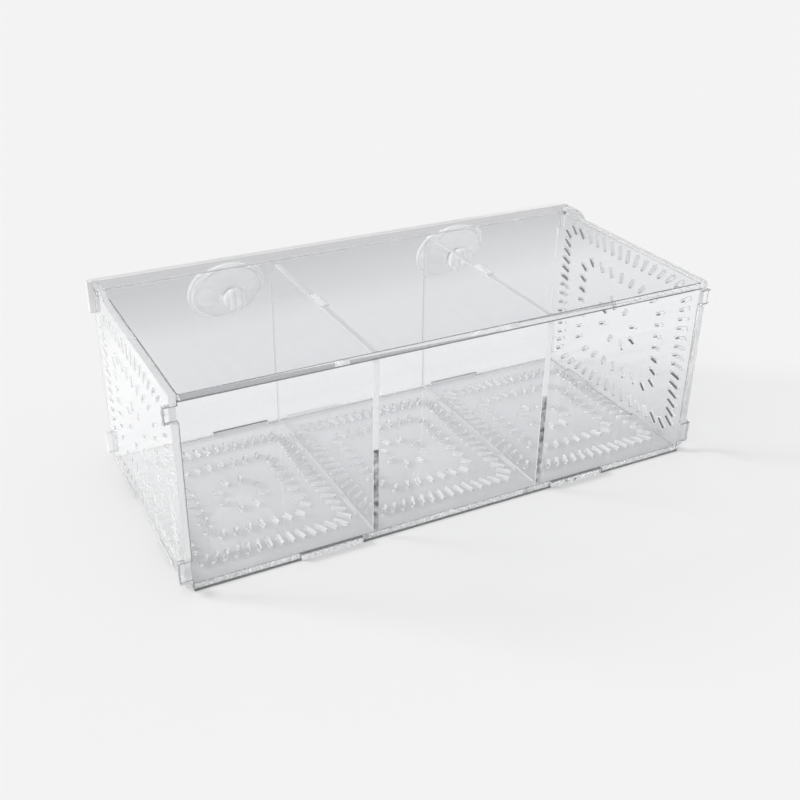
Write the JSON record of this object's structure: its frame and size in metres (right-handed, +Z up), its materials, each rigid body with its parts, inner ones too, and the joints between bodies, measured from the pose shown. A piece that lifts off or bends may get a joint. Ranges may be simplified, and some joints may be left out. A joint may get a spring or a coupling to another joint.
{
  "type": "fish breeding box",
  "caption": "Clear fish breeding box of tabbed sheet panels with radiating flow slots, divided compartments, a hinged lid and suction cups for aquarium glass.",
  "frame": {"origin": "middle of the floor panel's underside, on the surface that the box stands on", "axes": "+X along the box to the right seen from the front, +Y from the front wall to the back wall with the cups, +Z up"},
  "size_m": [0.271, 0.1407, 0.0975],
  "materials": {
    "clear_acrylic": "polished clear sheet with laser-cut edges",
    "soft_pvc": "glossy clear soft moulding"
  },
  "bodies": {
    "box": {"floor_panel": "clear_acrylic", "front_wall": "clear_acrylic", "back_wall": "clear_acrylic", "left_end_wall": "clear_acrylic", "right_end_wall": "clear_acrylic", "left_divider": "clear_acrylic", "right_divider": "clear_acrylic"},
    "lid": {"lid": "clear_acrylic"},
    "left_cup": {"left_suction_cup": "soft_pvc"},
    "right_cup": {"right_suction_cup": "soft_pvc"}
  },
  "joints": [
    {"name": "lid_hinge", "type": "hinge", "parent": "box", "child": "lid", "pos_m": [0, 0.0543, 0.0927], "axis": [-1, 0, 0], "range_deg": [0, 110]},
    {"name": "left_cup_spin", "type": "hinge", "parent": "box", "child": "left_cup", "pos_m": [-0.065, 0.061, 0.0745], "axis": [0, 1, 0], "continuous": true},
    {"name": "right_cup_spin", "type": "hinge", "parent": "box", "child": "right_cup", "pos_m": [0.065, 0.061, 0.0745], "axis": [0, 1, 0], "continuous": true}
  ]
}
